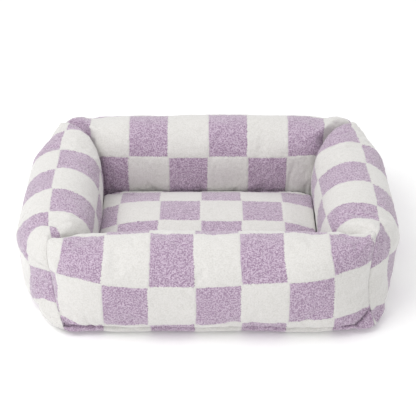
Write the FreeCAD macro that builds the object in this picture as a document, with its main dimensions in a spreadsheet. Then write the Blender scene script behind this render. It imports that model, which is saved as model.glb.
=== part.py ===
"""Rectangular stuffed pet bed: four bolster walls, a sewn floor and a loose zipped cushion.

Millimetres. Z is up, the origin is on the floor under the middle of the bed,
X runs along the longer side and the low -Y side is the front.
"""
import FreeCAD, Part
import Sketcher
import os

doc = FreeCAD.newDocument("pet_cushion_bed")
Vector = FreeCAD.Vector

# ---------------------------------------------------------------- driving sizes
SIZES = {
    # whole bed
    "overall_length": 700,
    "overall_depth": 590,
    "overall_height": 170,
    # bolster walls
    "wall_thickness": 140,
    "plan_corner_radius": 140,
    "inner_corner_radius": 12,
    "wall_top_round": 64,
    "wall_bottom_round": 40,
    "wall_cover_thickness": 2.5,
    "filling_gap": 0.3,
    # sewn floor
    "base_cloth_thickness": 1.2,
    "base_panel_length": 620,
    "base_panel_depth": 510,
    "base_panel_radius": 100,
    "wadding_thickness": 8,
    "floor_inset": 1,
    # loose cushion
    "cushion_length": 408,
    "cushion_depth": 292,
    "cushion_height": 75,
    "cushion_corner_radius": 28,
    "cushion_edge_round": 4,
    "cushion_crown_radius": 736,
    "cushion_cover_thickness": 1.5,
    "cushion_seam_height": 30,
    "cushion_clearance": 0.3,
    # zip in the back of the cushion
    "zip_length": 280,
    "zip_rise": 16.5,
    "zip_slot_height": 11,
    "zip_tape_width": 8,
    "zip_tape_thickness": 0.8,
    "zip_pocket_depth": 6,
    "coil_radius": 0.8,
    "coil_spacing": 3.2,
    "stop_length": 3,
    "stop_width": 5.6,
    "stop_thickness": 2,
    "slider_start": 125,
    "slider_length": 11,
    "slider_width": 8,
    "slider_plate": 1.2,
    "slider_play": 0.35,
    "slider_post_length": 6,
    "slider_post_width": 1,
    "slider_flange": 0.6,
    "ear_thickness": 0.8,
    "ear_length": 2.4,
    "ear_height": 2.6,
    "hinge_pin_radius": 0.5,
    "hinge_pin_lift": 1.6,
    "pull_length": 20,
    "pull_width": 5,
    "pull_thickness": 1,
    "pull_eye_radius": 1.3,
    "pull_eye_play": 0.15,
    # blank label beside the zip
    "label_width": 25,
    "label_height": 20,
    "label_thickness": 0.3,
    "label_centre": 159,
    # tool solids reach this far past what they cut
    "cut_margin": 10,
}

sheet = doc.addObject("Spreadsheet::Sheet", "sizes")
for row, (alias, value) in enumerate(SIZES.items(), start=1):
    sheet.set("A%d" % row, alias)
    sheet.set("B%d" % row, str(value))
    sheet.setAlias("B%d" % row, alias)
doc.recompute()

# heights and planes that several pieces share, as expressions on the sheet
WALL_BASE = "sizes.base_cloth_thickness"
WADDING_TOP = "(%s + sizes.wadding_thickness)" % WALL_BASE
FLOOR_TOP = "(%s + sizes.base_cloth_thickness)" % WADDING_TOP
CUSHION_BASE = "(%s + sizes.cushion_clearance)" % FLOOR_TOP
SEAM_LEVEL = "(%s + sizes.cushion_seam_height)" % CUSHION_BASE
ZIP_LEVEL = "(%s + sizes.zip_rise)" % CUSHION_BASE
ZIP_FACE = "(sizes.cushion_depth / 2 - sizes.cushion_cover_thickness)"
COIL_PLANE = "(%s - sizes.zip_tape_thickness / 2)" % ZIP_FACE
SLIDER_OUT = "(%s + sizes.coil_radius + sizes.slider_play)" % COIL_PLANE
SLIDER_IN = "(%s - sizes.coil_radius - sizes.slider_play)" % COIL_PLANE
PIN_PLANE = "(%s + sizes.slider_plate + sizes.hinge_pin_lift)" % SLIDER_OUT
TOLERANCE = 1e-4


def value(expression):
    """Number that an expression on the sheet gives now."""
    return float(sheet.evalExpression(expression))


def bind(item, **expressions):
    """Tie properties to expressions; a double underscore stands for a dot."""
    for path, expression in expressions.items():
        item.setExpression(path.replace("__", "."), expression)


def place(item, x="0", y="0", z="0"):
    bind(item, Placement__Base__x=x, Placement__Base__y=y, Placement__Base__z=z)
    return item


# ---------------------------------------------------------------- sketch helpers
def polygon_sketch(body, name, corners, level="0"):
    """Closed polygon on the body's XY plane, each corner tied to two expressions."""
    sketch = body.newObject("Sketcher::SketchObject", name)
    plane = [o for o in body.Origin.OriginFeatures if o.Role == "XY_Plane"][0]
    sketch.AttachmentSupport = [(plane, "")]
    sketch.MapMode = "FlatFace"
    bind(sketch, AttachmentOffset__Base__z=level)
    points = [Vector(value(x), value(y), 0) for x, y in corners]
    count = len(points)
    for i in range(count):
        sketch.addGeometry(Part.LineSegment(points[i], points[(i + 1) % count]))
    for i in range(count):
        sketch.addConstraint(Sketcher.Constraint("Coincident", i, 2, (i + 1) % count, 1))
    for i, (x, y) in enumerate(corners):
        for axis, expression, number in (("X", x, points[i].x), ("Y", y, points[i].y)):
            constraint = Sketcher.Constraint("Distance" + axis, -1, 1, i, 1, number)
            index = sketch.addConstraint(constraint)
            sketch.renameConstraint(index, "corner%d%s" % (i, axis))
            sketch.setExpression("Constraints.corner%d%s" % (i, axis), expression)
    doc.recompute()
    return sketch


def rectangle(length, depth):
    """Corners of a rectangle centred on the origin."""
    x, y = "(%s) / 2" % length, "(%s) / 2" % depth
    return [("-" + x, "-" + y), (x, "-" + y), (x, y), ("-" + x, y)]


def pad(body, sketch, name, height):
    feature = body.newObject("PartDesign::Pad", name)
    feature.Profile = sketch
    bind(feature, Length=height)
    body.Tip = feature
    doc.recompute()
    return feature


def fillet(body, base, name, edges, radius):
    """Round the edges that the test picks."""
    feature = body.newObject("PartDesign::Fillet", name)
    picked = ["Edge%d" % (i + 1) for i, e in enumerate(base.Shape.Edges) if edges(e)]
    feature.Base = (base, picked)
    bind(feature, Radius=radius)
    body.Tip = feature
    doc.recompute()
    return feature


def upright(edge):
    """True for a straight edge along Z."""
    if not isinstance(edge.Curve, (Part.Line, Part.LineSegment)):
        return False
    return abs(edge.tangentAt(edge.FirstParameter).z) > 1 - TOLERANCE


def at_level(level):
    """Test for edges that lie in the horizontal plane of that expression."""
    height = value(level)

    def test(edge):
        box = edge.BoundBox
        return abs(box.ZMin - height) < TOLERANCE and abs(box.ZMax - height) < TOLERANCE

    return test


def slab(name, length, depth, radius, level, height):
    """Upright block with rounded plan corners."""
    body = doc.addObject("PartDesign::Body", name)
    body.Label = name
    sketch = polygon_sketch(body, name + "_plan", rectangle(length, depth), level)
    block = pad(body, sketch, name + "_pad", height)
    fillet(body, block, name + "_corners", upright, radius)
    return body


# ---------------------------------------------------------------- bolster walls
def ring(name, inset):
    """Whole bolster ring, smaller by the inset on every side."""
    level = "(%s + %s)" % (WALL_BASE, inset)
    height = "(sizes.overall_height - %s - 2 * %s)" % (WALL_BASE, inset)
    body = slab(name, "sizes.overall_length - 2 * %s" % inset,
                "sizes.overall_depth - 2 * %s" % inset,
                "sizes.plan_corner_radius - %s" % inset, level, height)
    solid_volume = body.Shape.Volume
    opening = rectangle("sizes.overall_length - 2 * sizes.wall_thickness + 2 * %s" % inset,
                        "sizes.overall_depth - 2 * sizes.wall_thickness + 2 * %s" % inset)
    sketch = polygon_sketch(body, name + "_opening", opening, level)
    pocket = body.newObject("PartDesign::Pocket", name + "_pocket")
    pocket.Profile = sketch
    pocket.Type = "ThroughAll"
    pocket.Reversed = True
    body.Tip = pocket
    doc.recompute()
    assert pocket.Shape.Volume < solid_volume, name
    half_opening = value("sizes.overall_length / 2 - sizes.wall_thickness")

    def inner_upright(edge):
        return upright(edge) and abs(abs(edge.BoundBox.XMin) - half_opening) < value(inset) + 1

    hole = fillet(body, pocket, name + "_inner_corners", inner_upright,
                  "sizes.inner_corner_radius + %s" % inset)
    top = "%s + %s" % (level, height)
    crest = fillet(body, hole, name + "_crest", at_level(top), "sizes.wall_top_round - %s" % inset)
    fillet(body, crest, name + "_foot", at_level(level), "sizes.wall_bottom_round - %s" % inset)
    return body


def sector(name, corners):
    """Tool that keeps one wall of the ring, cut along the two mitres."""
    body = doc.addObject("PartDesign::Body", name)
    sketch = polygon_sketch(body, name + "_plan", corners)
    pad(body, sketch, name + "_pad", "sizes.overall_height + sizes.cut_margin")
    return body


def boolean(kind, label, first, second):
    item = doc.addObject("Part::" + kind, label)
    item.Base = first
    item.Tool = second
    item.Label = label
    doc.recompute()
    return item


def wall_corners():
    """Plan corners of the four mitred sectors."""
    x, y = "(sizes.overall_length / 2)", "(sizes.overall_depth / 2)"
    xi, yi = "(%s - sizes.wall_thickness)" % x, "(%s - sizes.wall_thickness)" % y
    return {
        "front": [("-" + x, "-" + y), (x, "-" + y), (xi, "-" + yi), ("-" + xi, "-" + yi)],
        "right": [(x, "-" + y), (x, y), (xi, yi), (xi, "-" + yi)],
        "back": [(x, y), ("-" + x, y), ("-" + xi, yi), (xi, yi)],
        "left": [("-" + x, y), ("-" + x, "-" + y), ("-" + xi, "-" + yi), ("-" + xi, yi)],
    }


def build_walls():
    outside = ring("ring_outside", "0")
    inside = ring("ring_inside", "sizes.wall_cover_thickness")
    stuffing = ring("ring_stuffing", "(sizes.wall_cover_thickness + sizes.filling_gap)")
    skin = boolean("Cut", "ring_skin", outside, inside)
    pieces = []
    for side, corners in wall_corners().items():
        tool = sector(side + "_sector", corners)
        pieces.append(boolean("Common", side + "_wall_cover", skin, tool))
        pieces.append(boolean("Common", side + "_wall_filling", stuffing, tool))
    return pieces


# ---------------------------------------------------------------- sewn floor
def build_floor():
    bottom = slab("base_bottom_panel", "sizes.base_panel_length", "sizes.base_panel_depth",
                  "sizes.base_panel_radius", "0", "sizes.base_cloth_thickness")
    length = "(sizes.overall_length - 2 * sizes.wall_thickness - 2 * sizes.floor_inset)"
    depth = "(sizes.overall_depth - 2 * sizes.wall_thickness - 2 * sizes.floor_inset)"
    wadding = slab("base_wadding", length, depth, "sizes.inner_corner_radius",
                   WALL_BASE, "sizes.wadding_thickness")
    top = slab("base_top_panel", length, depth, "sizes.inner_corner_radius",
               WADDING_TOP, "sizes.base_cloth_thickness")
    return [bottom, wadding, top]


# ---------------------------------------------------------------- loose cushion
def crowned_block(name, inset):
    """Cushion shape with its domed top, smaller by the inset on every side."""
    level = "(%s + %s)" % (CUSHION_BASE, inset)
    body = slab(name + "_block", "sizes.cushion_length - 2 * %s" % inset,
                "sizes.cushion_depth - 2 * %s" % inset,
                "sizes.cushion_corner_radius - %s" % inset,
                level, "sizes.cushion_height - 2 * %s" % inset)
    fillet(body, body.Tip, name + "_edge", at_level(level),
           "sizes.cushion_edge_round - %s" % inset)
    dome = doc.addObject("Part::Sphere", name + "_dome")
    bind(dome, Radius="sizes.cushion_crown_radius - %s" % inset)
    place(dome, z="%s + sizes.cushion_height - sizes.cushion_crown_radius" % CUSHION_BASE)
    return boolean("Common", name, body, dome)


def box(name, length, depth, height, x, y, z):
    """Box centred on x and standing from y and z."""
    item = doc.addObject("Part::Box", name)
    bind(item, Length=length, Width=depth, Height=height)
    place(item, "%s - (%s) / 2" % (x, length), y, z)
    item.Label = name
    return item


def build_cushion():
    whole = crowned_block("cushion_whole", "0")
    hollow = crowned_block("cushion_hollow", "sizes.cushion_cover_thickness")
    stuffing = crowned_block("cushion_stuffing",
                             "(sizes.cushion_cover_thickness + sizes.filling_gap)")
    skin = boolean("Cut", "cushion_skin", whole, hollow)
    reach = "(sizes.cushion_length + 2 * sizes.cut_margin)"
    front = "(-%s / 2)" % reach
    lower = box("below_seam", reach, reach, "%s - %s + sizes.cut_margin" % (SEAM_LEVEL, CUSHION_BASE),
                "0", front, "%s - sizes.cut_margin" % CUSHION_BASE)
    top = boolean("Cut", "cushion_top_cover", skin, lower)
    bottom = boolean("Common", "cushion_bottom_skin", skin, lower)
    slot = box("zip_slot", "sizes.zip_length", "sizes.cut_margin", "sizes.zip_slot_height",
               "0", "%s - sizes.cushion_cover_thickness" % ZIP_FACE,
               "%s - sizes.zip_slot_height / 2" % ZIP_LEVEL)
    bottom = boolean("Cut", "cushion_bottom_cover", bottom, slot)
    pocket_height = ("(2 * sizes.zip_tape_width + 2 * sizes.coil_radius + sizes.coil_spacing"
                     " + 2 * sizes.filling_gap)")
    pocket = box("zip_pocket", "sizes.zip_length + 2 * sizes.filling_gap",
                 "sizes.zip_pocket_depth + sizes.cut_margin", pocket_height,
                 "0", "%s - sizes.zip_pocket_depth" % ZIP_FACE,
                 "%s - %s / 2" % (ZIP_LEVEL, pocket_height))
    filling = boolean("Cut", "cushion_filling", stuffing, pocket)
    return [top, bottom, filling]


def coil(name, offset):
    """One moulded coil of the zip, lying along X."""
    item = doc.addObject("Part::Cylinder", name)
    bind(item, Radius="sizes.coil_radius", Height="sizes.zip_length")
    item.Placement.Rotation = FreeCAD.Rotation(Vector(0, 1, 0), 90)
    place(item, "-sizes.zip_length / 2", COIL_PLANE, "%s + %s" % (ZIP_LEVEL, offset))
    item.Label = name
    return item


def build_zip():
    """Tapes, coils and end stops, all fixed to the cushion."""
    tape_start = "(sizes.coil_spacing / 2 + sizes.coil_radius)"
    tape_plane = "%s - sizes.zip_tape_thickness" % ZIP_FACE
    upper = box("zip_tape_upper", "sizes.zip_length", "sizes.zip_tape_thickness",
                "sizes.zip_tape_width", "0", tape_plane, "%s + %s" % (ZIP_LEVEL, tape_start))
    lower = box("zip_tape_lower", "sizes.zip_length", "sizes.zip_tape_thickness",
                "sizes.zip_tape_width", "0", tape_plane,
                "%s - %s - sizes.zip_tape_width" % (ZIP_LEVEL, tape_start))
    coils = [coil("zip_coil_upper", "sizes.coil_spacing / 2"),
             coil("zip_coil_lower", "-sizes.coil_spacing / 2")]
    stops = doc.addObject("Part::Compound", "zip_end_stops")
    stops.Links = [end_stop("stop_left", "-"), end_stop("stop_right", "")]
    return [upper, lower, stops] + coils


def end_stop(name, sign):
    """Bridge over both coils that ends the travel of the slider."""
    centre = "%s(sizes.zip_length / 2 - sizes.stop_length)" % sign
    return box(name, "sizes.stop_length", "sizes.stop_thickness", "sizes.stop_width", centre,
               "%s + sizes.coil_radius" % COIL_PLANE, "%s - sizes.stop_width / 2" % ZIP_LEVEL)


def fuse(name, shapes):
    item = doc.addObject("Part::MultiFuse", name)
    item.Shapes = shapes
    item.Refine = True
    item.Label = name
    doc.recompute()
    return item


def build_slider():
    """Two plates joined by a post, with flanges round the tapes and ears for the pull."""
    x = "-sizes.slider_start"
    low = "%s - sizes.slider_width / 2" % ZIP_LEVEL
    outer = box("slider_outer_plate", "sizes.slider_length", "sizes.slider_plate",
                "sizes.slider_width", x, SLIDER_OUT, low)
    inner = box("slider_inner_plate", "sizes.slider_length", "sizes.slider_plate",
                "sizes.slider_width", x, "%s - sizes.slider_plate" % SLIDER_IN, low)
    post = box("slider_post", "sizes.slider_post_length", "%s - %s" % (SLIDER_OUT, SLIDER_IN),
               "sizes.slider_post_width", x, SLIDER_IN,
               "%s - sizes.slider_post_width / 2" % ZIP_LEVEL)
    shapes = [outer, inner, post]
    flange_depth = "(sizes.coil_radius - sizes.zip_tape_thickness / 2)"
    for name, plane in (("out", "%s - %s" % (SLIDER_OUT, flange_depth)), ("in", SLIDER_IN)):
        for side, z in (("low", low),
                        ("high", "%s + sizes.slider_width / 2 - sizes.slider_flange" % ZIP_LEVEL)):
            shapes.append(box("slider_flange_%s_%s" % (name, side), "sizes.slider_length",
                              flange_depth, "sizes.slider_flange", x, plane, z))
    ear_inner = "(sizes.pull_width / 2 + sizes.slider_play)"
    ear_plane = "%s + sizes.slider_plate" % SLIDER_OUT
    for side, z in (("low", "%s - %s - sizes.ear_thickness" % (ZIP_LEVEL, ear_inner)),
                    ("high", "%s + %s" % (ZIP_LEVEL, ear_inner))):
        shapes.append(box("slider_ear_" + side, "sizes.ear_length", "sizes.ear_height",
                          "sizes.ear_thickness", x, ear_plane, z))
    pin = doc.addObject("Part::Cylinder", "slider_pin")
    bind(pin, Radius="sizes.hinge_pin_radius", Height="2 * %s" % ear_inner)
    place(pin, x, PIN_PLANE, "%s - %s" % (ZIP_LEVEL, ear_inner))
    return fuse("zip_slider", shapes + [pin])


def build_pull():
    """Flat tab with an eye that turns on the slider's pin."""
    x = "-sizes.slider_start"
    eye = doc.addObject("Part::Cylinder", "pull_eye")
    bind(eye, Radius="sizes.pull_eye_radius", Height="sizes.pull_width")
    low = "%s - sizes.pull_width / 2" % ZIP_LEVEL
    place(eye, x, PIN_PLANE, low)
    tab = box("pull_tab", "sizes.pull_length", "sizes.pull_thickness", "sizes.pull_width",
              "%s + sizes.pull_length / 2" % x, "%s - sizes.pull_thickness / 2" % PIN_PLANE, low)
    blank = fuse("pull_blank", [eye, tab])
    bore = doc.addObject("Part::Cylinder", "pull_bore")
    bind(bore, Radius="sizes.hinge_pin_radius + sizes.pull_eye_play",
         Height="sizes.pull_width + 2 * sizes.cut_margin")
    place(bore, x, PIN_PLANE, "%s - sizes.cut_margin" % low)
    return boolean("Cut", "zip_pull", blank, bore)


def build_label():
    """Blank cloth label on the back of the cushion, clear of the zip."""
    return box("care_label", "sizes.label_width", "sizes.label_thickness", "sizes.label_height",
               "-sizes.label_centre", "sizes.cushion_depth / 2",
               "%s - sizes.label_height / 2" % ZIP_LEVEL)


# ---------------------------------------------------------------- build, test and write
nodes = build_walls() + build_floor() + build_cushion() + build_zip()
nodes += [build_slider(), build_pull(), build_label()]
doc.recompute()

for item in doc.Objects:
    assert "Invalid" not in item.State and "Error" not in item.State, item.Label
for item in nodes:
    shape = item.Shape
    assert not shape.isNull() and shape.isValid() and shape.Solids, item.Label

os.makedirs("parts", exist_ok=True)
for item in nodes:
    item.Shape.exportStep("parts/%s.step" % item.Label)
    extent = item.Shape.BoundBox
    print("%-22s solids %3d  volume %12.1f  x %.1f..%.1f y %.1f..%.1f z %.1f..%.1f" % (
        item.Label, len(item.Shape.Solids), item.Shape.Volume, extent.XMin, extent.XMax,
        extent.YMin, extent.YMax, extent.ZMin, extent.ZMax))
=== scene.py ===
"""Looks of the checked plush pet bed: four stuffed walls, a loose zipped cushion and the sewn floor.

Metres, in the same frame as the CAD model: Z is up, the low -Y side is the front.
"""
import math

import bmesh
import bpy
import numpy as np
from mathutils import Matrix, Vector, noise


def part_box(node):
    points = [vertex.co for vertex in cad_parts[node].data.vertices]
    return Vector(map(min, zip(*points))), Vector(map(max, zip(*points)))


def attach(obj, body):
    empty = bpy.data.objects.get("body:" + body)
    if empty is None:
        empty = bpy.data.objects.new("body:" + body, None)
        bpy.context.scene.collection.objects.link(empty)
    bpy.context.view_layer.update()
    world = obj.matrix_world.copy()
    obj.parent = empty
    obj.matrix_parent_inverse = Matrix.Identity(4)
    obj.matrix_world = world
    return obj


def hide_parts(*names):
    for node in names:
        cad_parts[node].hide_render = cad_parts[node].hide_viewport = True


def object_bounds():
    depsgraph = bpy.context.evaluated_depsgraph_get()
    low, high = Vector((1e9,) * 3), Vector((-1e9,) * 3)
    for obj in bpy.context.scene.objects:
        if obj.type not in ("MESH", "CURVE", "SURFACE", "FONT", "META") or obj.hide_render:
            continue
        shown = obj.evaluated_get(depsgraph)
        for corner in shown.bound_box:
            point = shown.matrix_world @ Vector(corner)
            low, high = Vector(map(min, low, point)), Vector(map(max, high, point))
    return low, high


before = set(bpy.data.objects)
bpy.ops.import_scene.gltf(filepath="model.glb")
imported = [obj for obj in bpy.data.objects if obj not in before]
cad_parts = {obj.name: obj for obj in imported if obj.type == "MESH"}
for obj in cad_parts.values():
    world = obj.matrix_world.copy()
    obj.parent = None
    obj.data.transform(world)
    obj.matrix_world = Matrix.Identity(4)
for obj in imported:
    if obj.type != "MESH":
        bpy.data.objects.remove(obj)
CAD_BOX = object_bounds()

# ---- measures taken from the frame
HALF_LENGTH = CAD_BOX[1].x
HALF_DEPTH = CAD_BOX[1].y
WALL_LOW, WALL_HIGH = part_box("front_wall_cover")
WALL_HALF = 0.5 * (WALL_HIGH.y - WALL_LOW.y)
CREST = CAD_BOX[1].z + 0.0035  # top of the walls under the pile
FOOT = WALL_LOW.z + 0.001  # underside of the walls
HALF_THICK = WALL_HALF - 0.002  # half the thickness of a wall under the pile
CENTRE_INSET = WALL_HALF + 0.002  # centre line of a wall, in from its outer face
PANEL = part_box("base_bottom_panel")[1]

# ---- underside
UNDER_RADIUS = 0.100  # corners of the underside cloth
UNDER_TOP = 0.0010  # height of its upper face
DOT_HEIGHT = 0.0004  # height of its lower face, over the dots
PILE_CLEARANCE = 0.0004  # gap that the plush keeps over the floor or this cloth

# ---- wall shape
UPPER_POWER = 2.6  # squareness of a wall's section above its middle
LOWER_POWER = 3.8  # and below it
SEAM_REACH = 0.120  # length over which a wall draws in to its corner seam
DRAW_POWER = 2.0  # how late it draws in: 1 is a straight taper
INNER_DRAW = 1.5  # how much later on its inside
LOW_HEIGHT = 0.120  # below this the outside of the front corners differs
LOW_BLEND = 0.050  # height over which that sets in
LOW_REACH = 0.050  # how much longer the walls draw in there
TUCK = {"left": 0.35, "right": 0.6}  # how much straighter the side walls draw in there
BACK_TUCK = 0.8  # the same for their outsides at the back corners
END_ROUND = 0.25  # share of the drawing in that is kept for the last stretch there
END_SHARPNESS = 8  # how much sharper that last stretch is
DROP_POWER = 2.2  # how late a wall comes down to the height of its seam
INNER_DROP = 2.5  # how much later on its upper inside
BACK_DROP = 7.5  # how much later on top of the back corners
GRID = 0.0024  # size of a mesh face on the plush
SETTLE_CAP = 0.006  # how far the cloth simulation may move a wall's cloth
SEAM_DEPTH = 0.0035  # how far the corner seams sink in, the same on both of their walls
SEWN_REACH = 0.003  # how close to a seam the cloth is held by it
SWELL = 0.0012  # how much smaller a wall starts before the simulation fills it out
CENTRE_HEIGHT = 0.085  # height of a wall's centre line
PIN_HEIGHT = 0.012  # the simulation holds a wall's cloth below this
CLOTH_STATIONS = 61  # rings of the simulated copy along a wall
CLOTH_ROUNDS = 56  # and points in each ring
CLOTH_FRAMES = 20
CLOTH = {
    "quality": 6,
    "mass": 0.3,
    "tension_stiffness": 20,
    "compression_stiffness": 12,
    "shear_stiffness": 6,
    "bending_stiffness": 0.6,
    "vertex_group_mass": "pins",
    "shrink_min": -0.02,
    "use_pressure": True,
    "uniform_pressure_force": 4,
}

# ---- seams and creases of a wall
GROOVE_DEPTH = 0.0028  # of a corner seam
GROOVE_REACH = 0.006
DIMPLE = 0.004  # how much deeper and wider the groove is at the dimple on the inside
DIMPLE_PLACE = -0.050  # distance round from the crest
CREASE_HEIGHT = 0.011  # the crease over the underside, at the sides and back
CREASE_RAISE = 0.010  # how much higher it runs at the front
CREASE_SLOPE = 0.75  # how steeply it rises to the front right corner
CREASE_TURN = 0.262  # where along the front that rise starts
CREASE_WIDTH = 0.0032
CREASE_DEPTH = 0.0035
FRONT_CREASE = 0.0075  # how much deeper it is at the front
PUCKER_DEPTH = 0.0034  # of the small folds that run out from a seam
BULGE_DEPTH = 0.0032  # of the wide uneven places in the filling
DENT_DEPTH = 0.0014  # and of the smaller ones
TUFT_DEPTH = 0.0005  # of the curls of the pile
LILAC_TUFT = 0.0006  # how much deeper they are on the lilac checks
WHITE_RAISE = 0.0007  # how much longer the white pile is

# A corner seam runs round a wall's section. Each row is the distance round from the crest, positive
# on the outside, then how far in from the square corner the seam lies along X and Y, then its
# height, all in mm. Low on the inside, where they are hidden, all corners are the same.
INNER_FOOT = [(-250, 100, 100, 2), (-215, 130, 130, 5), (-175, 142, 142, 38)]
FRONT_LEFT_SEAM = [
    *INNER_FOOT,
    (-126, 136, 136, 76), (-80, 120, 124, 108), (-45, 102, 112, 138), (0, 78, 94, 160),
    (30, 68, 88, 166), (55, 67, 74, 157), (80, 68, 65, 133), (126, 74, 60, 90),
    (165, 82, 40, 48), (200, 98, 12, 12), (228, 98, 32, 3), (250, 100, 100, 2),
]
FRONT_RIGHT_SEAM = [
    *INNER_FOOT,
    (-126, 136, 136, 76), (-80, 120, 124, 110), (-45, 100, 116, 142), (0, 64, 106, 169),
    (30, 52, 100, 173), (55, 56, 80, 165), (80, 62, 66, 137), (126, 66, 60, 90),
    (165, 64, 50, 48), (200, 53, 26, 14), (228, 54, 44, 3), (250, 100, 100, 2),
]
BACK_SEAM = [
    *INNER_FOOT,
    (-126, 136, 136, 78), (-80, 118, 116, 110), (-45, 108, 97, 138), (0, 82, 75, 156),
    (30, 57, 58, 153), (55, 50, 52, 144), (80, 54, 57, 126), (126, 60, 60, 88),
    (165, 58, 56, 48), (200, 54, 40, 16), (228, 54, 46, 3), (250, 100, 100, 2),
]
# Folds in the plush: the wall, then both ends as the place along it and the distance round from its
# crest, the depth and the half width, all in mm.
FOLDS = [
    ("front", (-250, 215), (-150, 232), 3.0, 4.0),
    ("left", (226, 180), (196, 214), 4.0, 5.0),
    ("left", (232, 100), (165, 98), 2.5, 3.5),
]

# ---- check pattern
ROW = 0.103  # depth of a row of checks round a wall
# Edges between columns of checks, in mm along X (front and back) or Y (left and right), each with the
# number of the column that starts there: on the inside, at the crest, and lower down the outside.
COLUMN_EDGES = {
    "front": ([(-331, -4), (-23, 0), (285, 4)],) * 2 + ([(-342, -4), (-22, 0), (298, 4)],),
    "back": ([(-391, -5), (0, 0), (391, 5)],) * 3,
    "left": (
        [(-290, -2), (-212, -1), (-132, 0), (-53, 1), (251, 5)],
        [(-240, -2), (-171, -1), (-129, 0), (-53, 1), (251, 5)],
        [(-255, -2), (-190, -1), (-132, 0), (-53, 1), (251, 5)],
    ),
    "right": ([(-235, -3), (-152, -2), (-100, -1), (-24, 0), (127, 2), (240, 3)],) * 2
    + ([(-255, -3), (-186, -2), (-110, -1), (-28, 0), (127, 2), (240, 3)],),
}
# Edges between rows of checks: place along the wall in mm, then the distance round from the crest, in
# mm, where the top, first, second and third rows start.
ROW_EDGES = {
    "front": [
        (-290, (-113, -10, 97, 172)), (-250, (-117, -14, 94, 174)), (-215, (-122, -19, 90, 187)),
        (-130, (-122, -19, 97, 184)), (-20, (-115, -12, 97, 180)), (130, (-123, -20, 90, 174)),
        (240, (-123, -20, 81, 165)), (290, (-75, 30, 86, 166)),
    ],
    "back": [(0, (-91, 32, 126, 209))],
    "left": [
        (-235, (-93, 10, 104, 160)), (-194, (-93, 10, 117, 190)), (-175, (-93, 10, 109, 205)),
        (0, (-93, 10, 113, 205)),
    ],
    "right": [
        (-235, (-66, 46, 101, 174)), (-180, (-68, 41, 104, 195)), (-110, (-72, 32, 125, 205)),
        (0, (-80, 28, 128, 205)), (110, (-89, 22, 125, 205)),
    ],
}


def section_curve(count=2000):
    """The closed section of a wall: distance round from the crest, offset outward and height."""
    turn = np.linspace(0.5 * np.pi, -1.5 * np.pi, count)
    cosine = np.cos(turn)
    sine = np.sin(turn)
    middle = 0.5 * (CREST + FOOT)
    rise = 0.5 * (CREST - FOOT)
    power = np.where(sine > 0, UPPER_POWER, LOWER_POWER)
    offset = HALF_THICK * np.sign(cosine) * np.abs(cosine) ** (2 / power)
    height = middle + rise * np.sign(sine) * np.abs(sine) ** (2 / power)
    steps = np.hypot(np.diff(offset), np.diff(height))
    return np.concatenate([[0], np.cumsum(steps)]), offset, height


SECTION = section_curve()
ROUND = SECTION[0][-1]


def section(around):
    """Offset and height of a wall's section at a distance round from its crest."""
    place = np.mod(around, ROUND)
    return np.interp(place, SECTION[0], SECTION[1]), np.interp(place, SECTION[0], SECTION[2])


def smooth_ring(rows, column, count=512, blur=0.010):
    """One column of a seam's table as a closed smooth curve: places round the wall, then values."""
    places = (np.arange(count) / count - 0.5) * ROUND
    knots = np.array(rows, dtype=float) / 1000
    values = np.interp(places, knots[:, 0], knots[:, column])
    offsets = np.arange(-count // 2, count // 2) * ROUND / count
    weights = np.exp(-0.5 * (offsets / blur) ** 2)
    spectrum = np.fft.fft(values) * np.fft.fft(np.fft.ifftshift(weights / weights.sum()))
    return places, np.real(np.fft.ifft(spectrum))


def ring_value(curve, around):
    """A closed curve from smooth_ring, read at distances round the wall."""
    return np.interp(np.mod(around + 0.5 * ROUND, ROUND) - 0.5 * ROUND, *curve, period=ROUND)


FRONT_LEFT, FRONT_RIGHT, BACK = (
    [smooth_ring(rows, column) for column in (1, 2, 3)]
    for rows in (FRONT_LEFT_SEAM, FRONT_RIGHT_SEAM, BACK_SEAM)
)
FRONT_ENDS = {
    ("front", -1): FRONT_LEFT,
    ("front", 1): FRONT_RIGHT,
    ("left", 1): FRONT_LEFT,
    ("right", -1): FRONT_RIGHT,
}


def seam_place(side, end, around):
    """Where the seam at one end (-1 or 1) of a wall lies: along, out from the middle and height."""
    curves = FRONT_ENDS.get((side, end), BACK)
    inset_x, inset_y, height = (ring_value(curve, around) for curve in curves)
    if side in ("left", "right"):
        return HALF_DEPTH - inset_y, HALF_LENGTH - inset_x, height
    return HALF_LENGTH - inset_x, HALF_DEPTH - inset_y, height


def front_end(side, share):
    """1 on the half of a side wall that runs to the front, and 0 elsewhere."""
    return {"left": share > 0, "right": share < 0}.get(side, np.zeros_like(share))


def back_end(side, share):
    """1 on the back wall and on the half of a side wall that runs to it, and 0 elsewhere."""
    ends = {"left": share < 0, "right": share > 0, "back": np.ones_like(share)}
    return ends.get(side, np.zeros_like(share))


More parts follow.
